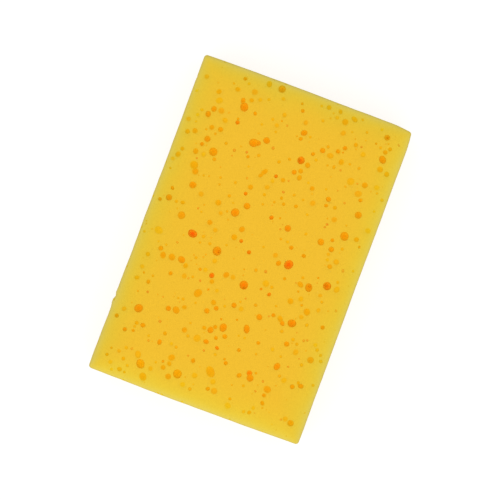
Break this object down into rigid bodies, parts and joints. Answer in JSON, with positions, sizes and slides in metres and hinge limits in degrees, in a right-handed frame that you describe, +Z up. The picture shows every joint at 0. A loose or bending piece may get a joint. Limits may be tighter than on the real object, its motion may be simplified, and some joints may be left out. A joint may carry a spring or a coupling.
{
  "type": "cleaning sponge",
  "caption": "Rectangular block of open-cell foam for wiping and washing, with round open pores of many sizes in all six faces.",
  "frame": {"origin": "middle of the underside, on the surface that the sponge lies on", "axes": "+X along the length, +Y across the width, +Z up out of the top face"},
  "size_m": [0.15, 0.1, 0.04],
  "materials": {
    "foam": "open-cell polyurethane foam, dry, matte"
  },
  "bodies": {
    "root": {"sponge": "foam"}
  },
  "joints": []
}
